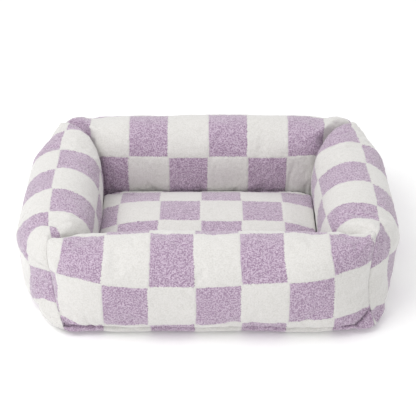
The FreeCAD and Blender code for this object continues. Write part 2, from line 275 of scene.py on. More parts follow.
def wall_surface(side, share, around):
    """Points of a wall before the fine detail: share runs -1 to 1 from seam to seam.

    Returns the place along, out from the bed's middle, the height and the distance to the nearer seam.
    """
    out_half = HALF_LENGTH if side in ("left", "right") else HALF_DEPTH
    offset, height = section(around)
    first = seam_place(side, -1, around)
    last = seam_place(side, 1, around)
    reach, seam_out, seam_height = (np.where(share < 0, a, b) for a, b in zip(first, last))
    along = share * reach
    to_seam = reach - np.abs(along)
    inner = 1 / (1 + np.exp(offset / 0.012))
    upper = np.clip((height - 0.05) / 0.06, 0, 1)
    low = (1 - inner) * np.clip((LOW_HEIGHT - height) / LOW_BLEND, 0, 1) * front_end(side, share)
    near = np.clip(1 - to_seam / (SEAM_REACH + LOW_REACH * low), 0, 1)
    out = out_half - CENTRE_INSET + offset
    tuck = TUCK.get(side, 0) * low + BACK_TUCK * (1 - inner) * back_end(side, share) * (side in TUCK)
    power = DRAW_POWER + INNER_DRAW * inner - tuck
    drawn = near ** power
    drawn = drawn + END_ROUND * low * (near ** (END_SHARPNESS * power) - drawn)
    out = out + (seam_out - out) * drawn
    drop = DROP_POWER + upper * (INNER_DROP * inner + BACK_DROP * back_end(side, share))
    height = height + (seam_height - height) * near ** drop
    return along, out, height, to_seam


def to_bed(side, along, out, height):
    """A wall's own along, out and height as points of the bed."""
    x, y = {
        "front": (along, -out),
        "back": (-along, out),
        "left": (-out, -along),
        "right": (out, along),
    }[side]
    return np.stack([x, y, height], axis=-1)


def lattice_noise(points, wavelength, seed=0.0):
    """Smooth noise from about -1 to 1 at points, with this wavelength in metres."""
    flat = (points / wavelength + seed).reshape(-1, 3).tolist()
    return np.array([noise.noise(place) for place in flat]).reshape(points.shape[:-1])


def grid_normals(points, outside):
    """Unit normals of a grid of points whose second axis closes on itself, turned towards outside."""
    across = np.gradient(points, axis=0)
    closed = np.concatenate([points[:, -2:-1], points, points[:, 1:2]], axis=1)
    along = closed[:, 2:] - closed[:, :-2]
    normal = np.cross(across, along)
    normal /= np.maximum(np.linalg.norm(normal, axis=-1, keepdims=True), 1e-12)
    return normal * np.sign((normal * outside).sum(axis=-1).mean())


def bed_millimetres(side, along):
    """Places along a wall as the bed's own X (front and back) or Y (left and right), in mm."""
    return {"front": along, "back": -along, "left": -along, "right": along}[side] * 1000


def column_number(side, along, around):
    """Which column of checks a point lies in, counted in whole checks and fractions."""
    place = bed_millimetres(side, along)
    inner, crest, low = (np.interp(place, *np.array(edges).T) for edges in COLUMN_EDGES[side])
    column = crest + (low - crest) * np.clip((around - 0.04) / 0.06, 0, 1)
    return column + (inner - crest) * np.clip(-around / 0.05, 0, 1)


def row_number(side, along, around):
    """Which row of checks a point lies in: 0 is the top row, and rows count down the outside."""
    place = bed_millimetres(side, along)
    stations = np.array([station for station, _ in ROW_EDGES[side]], dtype=float)
    edges = np.array([rows for _, rows in ROW_EDGES[side]], dtype=float) / 1000
    starts = [np.interp(place, stations, edges[:, k]) for k in range(edges.shape[1])]
    row = (np.minimum(around, starts[0]) - starts[0]) / ROW
    for low, high in zip(starts[:-1], starts[1:]):
        row = row + np.clip((around - low) / (high - low), 0, 1)
    return row + np.maximum(around - starts[-1], 0) / ROW


def is_lilac(column, row):
    """1 on the lilac checks and 0 on the white ones."""
    return np.mod(np.floor(column) + np.floor(row) + 1, 2)


def pile_depth(points, lilac, seed):
    """Height of the curly pile over the cloth: tufts, with the white pile a little longer."""
    tufts = lattice_noise(points, 0.0066, seed) + 0.5 * lattice_noise(points, 0.0040, seed + 5)
    return (TUFT_DEPTH + LILAC_TUFT * lilac) * tufts + WHITE_RAISE * (1 - lilac)


def fold_depth(side, along, around):
    """How far the folds of a wall sink in, with a soft ridge on both sides of each."""
    depth = np.zeros_like(along)
    for wall, start, end, deep, wide in FOLDS:
        if wall != side:
            continue
        first = np.array(start) / 1000
        run = (np.array(end) - np.array(start)) / 1000
        share = ((along - first[0]) * run[0] + (around - first[1]) * run[1]) / (run @ run)
        share = np.clip(share, 0, 1)
        away = np.hypot(along - first[0] - share * run[0], around - first[1] - share * run[1])
        away = away * 1000 / wide
        fade = np.sin(np.pi * (0.25 + 0.75 * share))
        groove = np.exp(-(away ** 2)) - 0.45 * np.exp(-((away - 2.2) ** 2))
        depth -= 0.001 * deep * fade * groove
    return depth


def wall_detail(side, points, along, around, to_seam, lilac):
    """How far the plush stands out from the smooth wall."""
    dimple = DIMPLE * np.exp(-(((around - DIMPLE_PLACE) / 0.030) ** 2))
    groove = -(GROOVE_DEPTH + dimple) * np.exp(-to_seam / (GROOVE_REACH + dimple))
    ends = np.sign(np.arange(points.shape[0])[:, None] - 0.5 * points.shape[0])
    spots = np.stack([around, np.broadcast_to(ends * 0.3, around.shape), to_seam * 0.25], axis=-1)
    puckers = PUCKER_DEPTH * lattice_noise(spots, 0.019, 3.7) * np.exp(-to_seam / 0.022)
    bulges = BULGE_DEPTH * lattice_noise(points, 0.11, 1.3)
    bulges += DENT_DEPTH * lattice_noise(points, 0.045, 8.1)
    at_front = side == "front"
    rise = CREASE_RAISE + CREASE_SLOPE * np.maximum(along - CREASE_TURN, 0)
    crease_height = CREASE_HEIGHT + at_front * rise
    crease = np.exp(-((points[..., 2] - crease_height) / CREASE_WIDTH) ** 2) * (around > 0)
    folds = fold_depth(side, along, around) - (CREASE_DEPTH + FRONT_CREASE * at_front) * crease
    return groove + puckers + bulges + folds + pile_depth(points, lilac, 2.9)


def add_object(name, data):
    """Puts data into the scene as an object."""
    added = bpy.data.objects.new(name, data)
    bpy.context.scene.collection.objects.link(added)
    return added


def new_object(name, vertices, faces):
    """A mesh object in the scene."""
    mesh = bpy.data.meshes.new(name)
    mesh.from_pydata([tuple(place) for place in vertices], [], faces)
    mesh.validate()
    mesh.shade_smooth()
    return add_object(name, mesh)


def add_fabric(piece, loops):
    """Stores the pattern's coordinates, one pair for each corner of each face."""
    layer = piece.data.uv_layers.new(name="fabric")
    layer.data.foreach_set("uv", np.array(loops, dtype=np.float32).ravel())


def tube_faces(stations, rounds):
    """Faces of a tube between its rings, each a run of points that closes on itself."""
    faces = []
    for ring in range(0, (stations - 1) * rounds, rounds):
        for j in range(rounds):
            after = (j + 1) % rounds
            faces.append((ring + j, ring + after, ring + rounds + after, ring + rounds + j))
    return faces


def tube_mesh(name, points, fabric):
    """A closed tube from a grid whose second axis goes round; fabric holds the pattern's coordinates."""
    stations, rounds = points.shape[0], points.shape[1] - 1
    vertices = list(points[:, :-1].reshape(-1, 3))
    faces = tube_faces(stations, rounds)
    loops = [
        fabric[spot]
        for i in range(stations - 1)
        for j in range(rounds)
        for spot in ((i, j), (i, j + 1), (i + 1, j + 1), (i + 1, j))
    ]
    for i, inside in ((0, 2), (stations - 1, stations - 3)):
        hub = len(vertices)
        vertices.append(points[inside, :-1].mean(axis=0))
        for j in range(rounds):
            ring = (i * rounds + j, i * rounds + (j + 1) % rounds)
            faces.append((*(ring if i else ring[::-1]), hub))
            loops += [fabric[i, j]] * 3
    piece = new_object(name, vertices, faces)
    add_fabric(piece, loops)
    return piece


def blow_up(vertices, faces, pinned):
    """Blows a closed cloth up with its pinned points held, and returns where its points end.

    The cloth is cut a little too large for its seams, so it puckers along them and bulges between.
    """
    coarse = new_object("coarse_wall", vertices, faces)
    pins = coarse.vertex_groups.new(name="pins")
    pins.add(pinned, 1.0, "REPLACE")
    cloth = coarse.modifiers.new("Cloth", "CLOTH")
    for setting, value in CLOTH.items():
        setattr(cloth.settings, setting, value)
    cloth.settings.effector_weights.gravity = 0
    cloth.collision_settings.use_collision = False
    for step in range(1, CLOTH_FRAMES + 1):
        bpy.context.scene.frame_set(step)
    settled = coarse.evaluated_get(bpy.context.evaluated_depsgraph_get()).data
    after = np.empty(len(vertices) * 3)
    settled.vertices.foreach_get("co", after)
    bpy.context.scene.frame_set(1)
    bpy.data.objects.remove(coarse)
    return after.reshape(-1, 3)


def refine(grid, places):
    """A coarse grid, known at whole places along its first axis, read at all whole places there."""
    wanted = np.arange(places[-1] + 1)
    known = grid.reshape(len(places), -1)
    fine = [np.interp(wanted, places, values) for values in known.T]
    return np.stack(fine, axis=-1).reshape(len(wanted), *grid.shape[1:])


def settle(points):
    """How far each point of a wall's grid moves when a coarse copy of the wall is blown up."""
    rows = np.linspace(0, points.shape[0] - 1, CLOTH_STATIONS).round().astype(int)
    columns = np.linspace(0, points.shape[1] - 1, CLOTH_ROUNDS + 1).round().astype(int)
    vertices = points[np.ix_(rows, columns[:-1])].reshape(-1, 3)
    low = np.flatnonzero(vertices[:, 2] < PIN_HEIGHT).tolist()
    last = len(vertices) - CLOTH_ROUNDS
    pinned = sorted({*low, *range(CLOTH_ROUNDS), *range(last, len(vertices))})
    moved = blow_up(vertices, tube_faces(CLOTH_STATIONS, CLOTH_ROUNDS), pinned) - vertices
    moved = moved.reshape(CLOTH_STATIONS, CLOTH_ROUNDS, 3)
    length = np.linalg.norm(moved, axis=-1, keepdims=True)
    moved *= SETTLE_CAP * np.tanh(length / SETTLE_CAP) / np.maximum(length, 1e-9)
    moved = np.concatenate([moved, moved[:, :1]], axis=1)
    return refine(refine(moved, rows).swapaxes(0, 1), columns).swapaxes(0, 1)


def inside_rounded(x, y, half_x, half_y, radius):
    """Whether points are inside a rounded rectangle."""
    over_x = np.maximum(np.abs(x) - (half_x - radius), 0)
    over_y = np.maximum(np.abs(y) - (half_y - radius), 0)
    return np.hypot(over_x, over_y) < radius


def lowest_height(points):
    """How low the plush may reach: just over the underside cloth where there is some, else the floor."""
    margin = 0.001
    x, y = points[..., 0], points[..., 1]
    over_cloth = inside_rounded(x, y, PANEL.x + margin, PANEL.y + margin, UNDER_RADIUS)
    return np.where(over_cloth, UNDER_TOP + PILE_CLEARANCE, PILE_CLEARANCE)


def fill_out(points, outside, to_seam, height):
    """Lets the cloth simulation fill a wall out, from a start that is a little smaller."""
    slack = SWELL * np.clip(to_seam / 0.05, 0, 1) * np.clip(height / 0.02, 0, 1)
    start = points - grid_normals(points, outside) * slack[..., None]
    return start + settle(start)


def seam_pull(points, share, to_seam):
    """How firmly a seam holds each point, and how far it pulls the point in."""
    ends = np.where(share[..., None] < 0, points[:1], points[-1:])
    outward = ends - ends.mean(axis=1, keepdims=True)
    outward /= np.linalg.norm(outward, axis=-1, keepdims=True)
    held = np.exp(-((to_seam / SEWN_REACH) ** 2))[..., None]
    return held, held * outward * SEAM_DEPTH


def make_wall(side):
    """One stuffed wall of the ring, with its checks, seams and pile."""
    half = HALF_LENGTH if side in ("front", "back") else HALF_DEPTH
    stations = int(2 * (half - 0.06) / GRID)
    rounds = int(ROUND / GRID)
    share, around = np.meshgrid(
        np.linspace(-1, 1, stations), (np.arange(rounds + 1) / rounds - 0.5) * ROUND, indexing="ij"
    )
    along, out, height, to_seam = wall_surface(side, share, around)
    points = to_bed(side, along, out, height)
    middle = to_bed(side, along, np.full_like(out, out.mean()), np.full_like(out, CENTRE_HEIGHT))
    points = fill_out(points, points - middle, to_seam, height)
    column = column_number(side, along, around)
    row = row_number(side, along, around)
    normal = grid_normals(points, points - middle)
    detail = wall_detail(side, points, along, around, to_seam, is_lilac(column, row))
    held, pulled = seam_pull(points, share, to_seam)
    points = points + (1 - held) * normal * detail[..., None] - pulled
    points[..., 2] = np.maximum(points[..., 2], lowest_height(points))
    points[:, -1] = points[:, 0]
    piece = tube_mesh(side + "_wall", points, np.stack([column, row], axis=-1))
    dress(piece, PLUSH)
    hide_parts(side + "_wall_cover", side + "_wall_filling")
    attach(piece, "bed")


# ---- materials
def linear(*shade):
    """An sRGB colour of 0 to 255 as the linear colour with alpha that shaders take."""
    parts = [value / 255 for value in shade]
    return tuple(p / 12.92 if p <= 0.04045 else ((p + 0.055) / 1.055) ** 2.4 for p in parts) + (1.0,)


class Graph:
    """A material's node tree, with short calls for the nodes used here."""

    def __init__(self, name, finish):
        self.material = bpy.data.materials.new(name)
        self.material.use_nodes = True
        self.tree = self.material.node_tree
        self.shader = self.tree.nodes["Principled BSDF"]
        for socket, value in finish.items():
            self.shader.inputs[socket].default_value = value

    def node(self, kind, inputs=(), **settings):
        """Adds a node; inputs are pairs of a socket and a value or another node's output."""
        made = self.tree.nodes.new("ShaderNode" + kind)
        for key, value in settings.items():
            setattr(made, key, value)
        for socket, value in inputs:
            self.set(made, socket, value)
        return made

    def set(self, node, socket, value):
        """Sets or links one input."""
        if isinstance(value, bpy.types.NodeSocket):
            self.tree.links.new(value, node.inputs[socket])
        else:
            node.inputs[socket].default_value = value

    def math(self, operation, first, second=0.0, third=0.0):
        """One step of arithmetic."""
        return self.node("Math", [(0, first), (1, second), (2, third)], operation=operation).outputs[0]

    def vector(self, operation, first, second):
        """One step of arithmetic on vectors."""
        return self.node("VectorMath", [(0, first), (1, second)], operation=operation).outputs[0]

    def noise(self, vector, scale, detail=2.0, rough=0.5):
        """Noise at a vector: its value, and its colour as the second result."""
        inputs = [("Vector", vector), ("Scale", scale), ("Detail", detail), ("Roughness", rough)]
        made = self.node("TexNoise", inputs)
        return made.outputs["Fac"], made.outputs["Color"]

    def spread(self, value, low, high, to_low=0.0, to_high=1.0):
        """Maps one range smoothly to another, clamped."""
        inputs = [("Value", value), (1, low), (2, high), (3, to_low), (4, to_high)]
        return self.node("MapRange", inputs, interpolation_type="SMOOTHSTEP").outputs[0]

    def mix(self, share, first, second):
        """Mixes two colours."""
        inputs = [(0, share), (6, first), (7, second)]
        return self.node("Mix", inputs, data_type="RGBA").outputs[2]

    def place(self):
        """The piece's own coordinates, which move with it."""
        return self.node("TexCoord").outputs["Object"]

    def paint(self, colour):
        """Sets the surface's colour."""
        self.set(self.shader, "Base Color", colour)

    def bump(self, height, strength, distance):
        """Raises the surface by a height."""
        made = self.node("Bump", [("Height", height), ("Strength", strength), ("Distance", distance)])
        self.set(self.shader, "Normal", made.outputs["Normal"])


# The two piles: the colour in the hollows, which holds painted shade, the colour on the curls, which
# holds painted light, then the colour of the clumps and how strong the clumps are.
LILAC_PILE = (linear(152, 127, 152), linear(206, 188, 206), linear(168, 143, 168), 0.15)
WHITE_PILE = (linear(206, 204, 200), linear(217, 215, 212), linear(222, 220, 218), 0.3)
# How far the curls and the clumps stray over the edge of a check, as shares of its width and depth.
CURL_STRAY = (0.085, 0.063, 0.0)
CLUMP_STRAY = (0.022, 0.016, 0.0)


def pile_colour(graph, curls, clump, pile):
    """The colour of one of the piles: painted shade in the hollows of its curls and painted light on
    their tips, mottled by the clumps.
    """
    shaded_hollow, lit_tip, clumped, strength = pile
    # Painted shade where the curl noise is low and painted light where it is high.
    colour = graph.mix(curls, shaded_hollow, lit_tip)
    return graph.mix(graph.spread(clump, 0.3, 0.7, 0.0, strength), colour, clumped)


def lilac_share(graph, strays):
    """1 on the lilac checks and 0 on the white ones, whose pile spreads a little over the lilac."""
    fabric = graph.node("UVMap", uv_map="fabric").outputs[0]
    for colour, reach in strays:
        centred = graph.vector("SUBTRACT", colour, (0.5, 0.5, 0.5))
        fabric = graph.vector("ADD", fabric, graph.vector("MULTIPLY", centred, reach))
    split = graph.node("SeparateXYZ", [(0, fabric)])
    column, row = split.outputs[0], split.outputs[1]
    whole = graph.math("ADD", graph.math("FLOOR", column), graph.math("FLOOR", row))
    even = graph.math("SUBTRACT", 1.0, graph.math("FLOORED_MODULO", whole, 2.0))
    inside_column = graph.spread(graph.math("PINGPONG", column, 0.5), 0.010, 0.028)
    inside_row = graph.spread(graph.math("PINGPONG", row, 0.5), 0.007, 0.020)
    return graph.math("MULTIPLY", even, graph.math("MULTIPLY", inside_column, inside_row))


def plush_material():
    """Curly pile in off-white and lilac checks."""
    finish = {"Roughness": 0.95, "Sheen Weight": 0.6, "Sheen Roughness": 0.5, "Specular IOR Level": 0.15}
    graph = Graph("check_plush", finish)
    place = graph.place()
    curl, curl_colour = graph.noise(place, 420, 2.0, 0.55)
    clump, clump_colour = graph.noise(place, 120, 2.0)
    lilac = lilac_share(graph, ((curl_colour, CURL_STRAY), (clump_colour, CLUMP_STRAY)))
    # The curl noise as a share: it paints shade into the pile's hollows and light onto its curl tips,
    # where the bump raises them.
    curls = graph.spread(curl, 0.38, 0.62)
    white_colour = pile_colour(graph, curls, clump, WHITE_PILE)
    lilac_colour = pile_colour(graph, curls, clump, LILAC_PILE)
    graph.paint(graph.mix(lilac, white_colour, lilac_colour))
    depth = graph.math("MULTIPLY_ADD", lilac, 0.7, 0.3)
    height = graph.math("MULTIPLY", graph.math("ADD", curl, graph.math("MULTIPLY", clump, 0.5)), depth)
    white_raise = graph.math("MULTIPLY", graph.math("SUBTRACT", 1.0, lilac), 0.35)
    graph.bump(graph.math("ADD", height, white_raise), 0.9, 0.0022)
    return graph.material


def plain_cloth(name, dark, light, thread=0.0006):
    """A plain weave: crossing threads in two close shades, laid on each face along its own two axes."""
    graph = Graph(name, {"Roughness": 0.85})
    place = graph.place()
    scale = 2 * math.pi / thread / 20
    inputs = [("Vector", place), ("Scale", scale), ("Distortion", 0.3)]
    x, y, z = (graph.node("TexWave", inputs, bands_direction=axis).outputs[1] for axis in "XYZ")
    facing = graph.node("SeparateXYZ", [(0, graph.node("TexCoord").outputs["Normal"])])
    threads = 0.0
    for axis, pair in enumerate(((y, z), (x, z), (x, y))):
        weight = graph.math("POWER", graph.math("ABSOLUTE", facing.outputs[axis]), 4.0)
        threads = graph.math("MULTIPLY_ADD", graph.math("MULTIPLY", *pair), weight, threads)
    blotch = graph.noise(place, 60, 3.0)[0]
    shade = graph.math("MULTIPLY_ADD", blotch, 0.6, graph.math("MULTIPLY", threads, 0.35))
    graph.paint(graph.mix(shade, dark, light))
    graph.bump(threads, 0.6, 0.00015)
    return graph.material


def nickel_material():
    """Plated metal with faint brushing and duller rubbed patches."""
    graph = Graph("zip_metal", {"Base Color": linear(206, 204, 200), "Metallic": 1.0})
    place = graph.place()
    patches = graph.noise(place, 300, 4.0)[0]
    graph.set(graph.shader, "Roughness", graph.spread(patches, 0.3, 0.7, 0.20, 0.42))
    brushing = graph.noise(place, 700, 2.0)[0]
    graph.paint(graph.mix(brushing, linear(188, 186, 182), linear(222, 220, 216)))
    graph.bump(graph.noise(place, 2500, 2.0)[0], 0.15, 0.0001)
    return graph.material


def smooth_material(name, colour, shade, roughness, grain=900):
    """A moulded or satin finish in two close shades."""
    graph = Graph(name, {"Roughness": roughness})
    speck = graph.noise(graph.place(), grain, 3.0)[0]
    graph.paint(graph.mix(speck, shade, colour))
    graph.bump(speck, 0.25, 0.00008)
    return graph.material


def wadding_material():
    """Matted fibre."""
    graph = Graph("wadding", {"Roughness": 1.0, "Sheen Weight": 0.3})
    place = graph.place()
    fibres = graph.noise(place, 700, 5.0, 0.7)[0]
    graph.paint(graph.mix(fibres, linear(222, 222, 220), linear(246, 246, 244)))
    graph.bump(fibres, 0.8, 0.0006)
    return graph.material


PLUSH = plush_material()
LINING = plain_cloth("lining_cloth", linear(205, 200, 196), linear(236, 233, 229))
NONSLIP = plain_cloth("nonslip_cloth", linear(176, 172, 172), linear(208, 205, 204))
TAPE = plain_cloth("zip_tape", linear(196, 186, 196), linear(226, 216, 226), thread=0.0004)
COIL = smooth_material("zip_coil", linear(222, 214, 222), linear(204, 194, 204), 0.4)
SATIN = smooth_material("label_cloth", linear(246, 245, 242), linear(232, 231, 228), 0.35, grain=1500)
RUBBER = smooth_material("nonslip_rubber", linear(150, 146, 148), linear(134, 130, 132), 0.6)
THREAD = smooth_material("thread", linear(214, 210, 210), linear(190, 186, 186), 0.7, grain=3000)
NICKEL = nickel_material()
WADDING = wadding_material()

# ---- cushion
TOP_LOW, TOP_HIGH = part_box("cushion_top_cover")
CUSHION_LOW, CUSHION_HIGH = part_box("cushion_bottom_cover")
SEAM_LEVEL = TOP_LOW.z
CROWN = TOP_HIGH.z + 0.0015
CUSHION_HALF = np.array([CUSHION_HIGH.x, CUSHION_HIGH.y])
CORNER_RADIUS = 0.028
PULL_IN = 0.003  # how far its sides draw in between the corners
SHOULDER = 0.053  # how much wider it bulges just over its edge seam, as a share
SHOULDER_PLACE = 0.955  # where that bulge is, as a share of the way from the middle to the seam
SHOULDER_WIDTH = 0.05
SIDE_FALL = (4, 0.34)  # powers of its fall to the left and right: full shoulders
END_FALL = (2, 0.70)  # and to the front and back: a gentler fall
CUSHION_CHECK = 0.079  # width of its checks
CUSHION_ROW = 0.080  # and their depth
FIRST_COLUMN = -0.014  # where a column of checks starts along X
FIRST_ROW = -0.104  # where a row starts along Y


def pull_in(share):
    """How far the cushion's sides draw in between its corners; the back stays straight for the zip."""
    pulled = PULL_IN * (1 - share[..., ::-1] ** 2) * share * np.abs(share) ** 6
    pulled[..., 1] *= share[..., 1] < 0
    return pulled


def cushion_plan(s, t):
    """Places s and t of a square, -1 to 1, on the cushion's rounded rectangle."""
    share = np.stack([s, t], axis=-1)
    edge = np.maximum(np.abs(share).max(axis=-1), 1e-9)
    rim = np.abs(share) / edge[..., None] * CUSHION_HALF
    centre = CUSHION_HALF - CORNER_RADIUS
    square = (rim ** 2).sum(axis=-1)
    along = rim @ centre
    root = np.sqrt(np.maximum(along ** 2 - square * (centre @ centre - CORNER_RADIUS ** 2), 0))
    scale = np.where((rim > centre).all(axis=-1), (along + root) / square, 1)
    scale = 1 + (scale - 1) * edge ** 3
    return share * CUSHION_HALF * scale[..., None] - pull_in(share)


def cushion_top_point(s, t):
    """Smooth top of the cushion: s and t run -1 to 1 across it."""
    fall = (1 - np.abs(s) ** SIDE_FALL[0]) ** SIDE_FALL[1] * (1 - np.abs(t) ** END_FALL[0]) ** END_FALL[1]
    height = SEAM_LEVEL + (CROWN - SEAM_LEVEL) * fall
    edge = np.maximum(np.abs(s), np.abs(t))
    bulge = SHOULDER * np.exp(-(((edge - SHOULDER_PLACE) / SHOULDER_WIDTH) ** 2))
    wider = 1 + bulge * np.clip((1 - edge) / 0.01, 0, 1)
    return np.concatenate([cushion_plan(s, t) * wider[..., None], height[..., None]], axis=-1)


def sheet_mesh(name, points, fabric=None):
    """An open sheet from a grid of points, with the pattern's coordinates where it has them."""
    rows, columns = points.shape[:2]
    faces = []
    corners = []
    for i in range(rows - 1):
        for j in range(columns - 1):
            corners.append(((i, j), (i + 1, j), (i + 1, j + 1), (i, j + 1)))
            faces.append(tuple(a * columns + b for a, b in corners[-1]))
    piece = new_object(name, points.reshape(-1, 3), faces)
    if fabric is not None:
        add_fabric(piece, [fabric[spot] for quad in corners for spot in quad])
    return piece


def make_cushion_top():
    """The plush top of the cushion, crowned, with its edge drawn in to the seam."""
    across = int(2 * TOP_HIGH.x / GRID) + 20
    deep = int(2 * TOP_HIGH.y / GRID) + 20
    s, t = np.meshgrid(
        np.sin(0.5 * np.pi * np.linspace(-1, 1, across)),
        np.sin(0.5 * np.pi * np.linspace(-1, 1, deep)),
        indexing="ij",
    )
    points = cushion_top_point(s, t)
    column = (points[..., 0] - FIRST_COLUMN) / CUSHION_CHECK
    row = (points[..., 1] - FIRST_ROW) / CUSHION_ROW
    lift = 0.0022 * lattice_noise(points, 0.09, 4.4) + pile_depth(points, is_lilac(column, row), 6.1)
    edge = np.maximum(np.abs(s), np.abs(t))
    points[..., 2] += lift * np.clip((1 - edge) / 0.02, 0, 1)
    piece = sheet_mesh("cushion_top", points, np.stack([column, row], axis=-1))
    dress(piece, PLUSH, 0.0020)
    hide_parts("cushion_top_cover", "cushion_filling")
    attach(piece, "cushion")


def rounded_outline(half_x, half_y, radius, back_stops=()):
    """A rounded rectangle as points, anticlockwise from the back of the right side.

    back_stops are places along the back that need a point of their own.
    """
    run_x, run_y = half_x - radius, half_y - radius
    stops = [run_x, *back_stops, -run_x]
    back = [
        (x, half_y)
        for first, last in zip(stops[:-1], stops[1:])
        for x in np.linspace(first, last, max(2, int((first - last) / 0.006)) + 1)[:-1]
    ]
    left = [(-half_x, y) for y in np.linspace(run_y, -run_y, int(run_y / 0.003))]
    front = [(x, -half_y) for x in np.linspace(-run_x, run_x, int(run_x / 0.003))]
    right = [(half_x, y) for y in np.linspace(-run_y, run_y, int(run_y / 0.003))]

    def corner(x, y, start):
        angles = np.radians(start + np.linspace(0, 90, 10)[1:-1])
        return [(x + radius * math.cos(a), y + radius * math.sin(a)) for a in angles]

    outline = corner(run_x, run_y, 0) + back + [(-run_x, half_y)] + corner(-run_x, run_y, 90)
    outline += left + corner(-run_x, -run_y, 180) + front + corner(run_x, -run_y, 270) + right
    return np.array(outline)


def loops_mesh(name, loops, hub, skip=()):
    """Faces between closed loops of points, closed by a fan to hub; skip holds faces left out."""
    count = len(loops[0])
    vertices = [place for loop in loops for place in loop]
    faces = []
    for level in range(len(loops) - 1):
        near = level * count
        far = near + count
        for k in range(count):
            if (level, k) not in skip:
                after = (k + 1) % count
                faces.append((near + k, far + k, far + after, near + after))
    last = (len(loops) - 1) * count
    faces += [(last + k, len(vertices), last + (k + 1) % count) for k in range(count)]
    vertices.append(hub)
    return new_object(name, vertices, faces)


def dress(piece, material, thickness=0):
    """Gives a piece its material, and a sheet the thickness of its cloth, inwards."""
    piece.data.materials.append(material)
    if not thickness:
        return
    modifier = piece.modifiers.new("cloth thickness", "SOLIDIFY")
    modifier.thickness = thickness
    modifier.offset = -1.0


ZIP_MIDDLE = 0.5 * (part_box("zip_coil_lower")[0].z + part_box("zip_coil_upper")[1].z)
ZIP_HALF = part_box("zip_tape_lower")[1].x
SLOT_HALF_HEIGHT = 0.0055
SLOT_LEVEL = 3  # which level of the cushion's side strip the zip's slot is under
ZIP_MESH = 0.0004  # how far each coil reaches past the middle, between the other's turns
COIL_PITCH = 0.0014
COIL_STEPS = 8  # points in each turn of a coil
COIL_THICK = 0.00033  # half the thickness of its nylon


def side_strip(outline, floor, floor_inset):
    """Loops down the cushion's side, from its seam to its underside."""
    slot_top = ZIP_MIDDLE + SLOT_HALF_HEIGHT
    slot_foot = ZIP_MIDDLE - SLOT_HALF_HEIGHT
    upper = 0.5 * (SEAM_LEVEL + slot_top)
    levels = (
        (SEAM_LEVEL, 0.001),
        (upper + 0.002, 0),
        (upper - 0.001, 0),
        (slot_top, 0),
        (slot_foot, 0),
        (0.5 * (slot_foot + floor) + 0.001, 0),
        (floor + 0.0035, 0.0004),
        (floor + 0.0012, 0.0016),
        (floor, floor_inset),
    )
    loops = []
    for height, inset in levels:
        loop = outline * (1 - inset / CUSHION_HIGH.y)
        loops.append([(x, y, height) for x, y in loop])
    return loops


def make_cushion_base():
    """The cushion's lining underside, with its side strip and the slot for the zip at the back."""
    outline = rounded_outline(*CUSHION_HALF, CORNER_RADIUS, (ZIP_HALF, -ZIP_HALF))
    outline = outline - pull_in(outline / CUSHION_HALF)
    floor = CUSHION_LOW.z
    floor_inset = 0.004
    loops = side_strip(outline, floor, floor_inset)
    rings = 14
    for ring in range(1, rings):
        scale = (1 - floor_inset / CUSHION_HIGH.y) * (1 - ring / rings)
        places = np.array([(x * scale, y * scale, floor) for x, y in outline])
        places[:, 2] += 0.0004 * (1 + lattice_noise(places, 0.05, 2.2))
        loops.append(places)
    slot = {
        (SLOT_LEVEL, k)
        for k, (x, y) in enumerate(outline)
        if y > CUSHION_HIGH.y - 1e-6 and -ZIP_HALF + 1e-6 < x <= ZIP_HALF + 1e-6
    }
    piece = loops_mesh("cushion_base", loops, (0, 0, floor), slot)
    dress(piece, LINING, 0.0012)
    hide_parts("cushion_bottom_cover")
    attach(piece, "cushion")


def make_coil(half):
    """One side of the zip's teeth: a nylon monofilament wound in a long coil."""
    low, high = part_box("zip_coil_" + half)
    turns = int((high.x - low.x) / COIL_PITCH) - 1
    lower = half == "lower"
    bottom = low.z if lower else ZIP_MIDDLE - ZIP_MESH
    top = ZIP_MIDDLE + ZIP_MESH if lower else high.z
    radius = 0.5 * (high.y - low.y) - COIL_THICK
    rise = 0.5 * (top - bottom) - COIL_THICK
    start = low.x + COIL_THICK + (0 if lower else 0.5 * COIL_PITCH)
    curve = bpy.data.curves.new("zip_teeth_" + half, "CURVE")
    curve.dimensions = "3D"
    curve.bevel_depth = COIL_THICK
    curve.bevel_resolution = 1
    spline = curve.splines.new("POLY")
    spline.points.add(turns * COIL_STEPS - 1)
    for k, point in enumerate(spline.points):
        angle = 2 * math.pi * k / COIL_STEPS
        x = start + k / COIL_STEPS * COIL_PITCH
        y = 0.5 * (low.y + high.y) + radius * math.cos(angle)
        z = 0.5 * (bottom + top) + rise * math.sin(angle)
        point.co = (x, y, z, 1)
    piece = add_object("zip_teeth_" + half, curve)
    dress(piece, COIL)
    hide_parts("zip_coil_" + half)
    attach(piece, "cushion")


def make_label():
    """The blank label, sewn in at the cushion's edge seam and curling away a little at its foot."""
    low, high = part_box("care_label")
    top = SEAM_LEVEL - 0.0005
    drop, across = np.meshgrid(np.linspace(0, 1, 24), np.linspace(-1, 1, 18), indexing="ij")
    x = 0.5 * (low.x + high.x) + 0.5 * (high.x - low.x) * across
    z = top - (top - low.z) * drop
    y = high.y + 0.0002 + 0.0020 * drop ** 3 + 0.0006 * drop * np.sin(2.3 * across + 0.6)
    label = sheet_mesh("care_label_tab", np.stack([x, y, z], axis=-1))
    dress(label, SATIN, 0.0002)
    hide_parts("care_label")
    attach(label, "cushion")


def make_floor_cloth():
    """The lining cloth stretched over the floor of the bed, sewn down in a groove near its edge."""
    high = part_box("base_top_panel")[1]
    s, t = np.meshgrid(np.linspace(-1, 1, 120), np.linspace(-1, 1, 90), indexing="ij")
    points = np.stack([(high.x - 0.0005) * s, (high.y - 0.0005) * t, np.full_like(s, high.z)], axis=-1)
    edge = np.minimum(high.x * (1 - np.abs(s)), high.y * (1 - np.abs(t)))
    points[..., 2] += 0.0006 * lattice_noise(points, 0.06, 5.5) - 0.0010 * np.exp(-edge / 0.004)
    points[..., 2] -= 0.0008 * np.exp(-(((edge - 0.012) / 0.002) ** 2)) + 0.0006
    cloth = sheet_mesh("floor_cloth", points)
    dress(cloth, LINING, 0.0008)
    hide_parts("base_top_panel")
    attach(cloth, "bed")


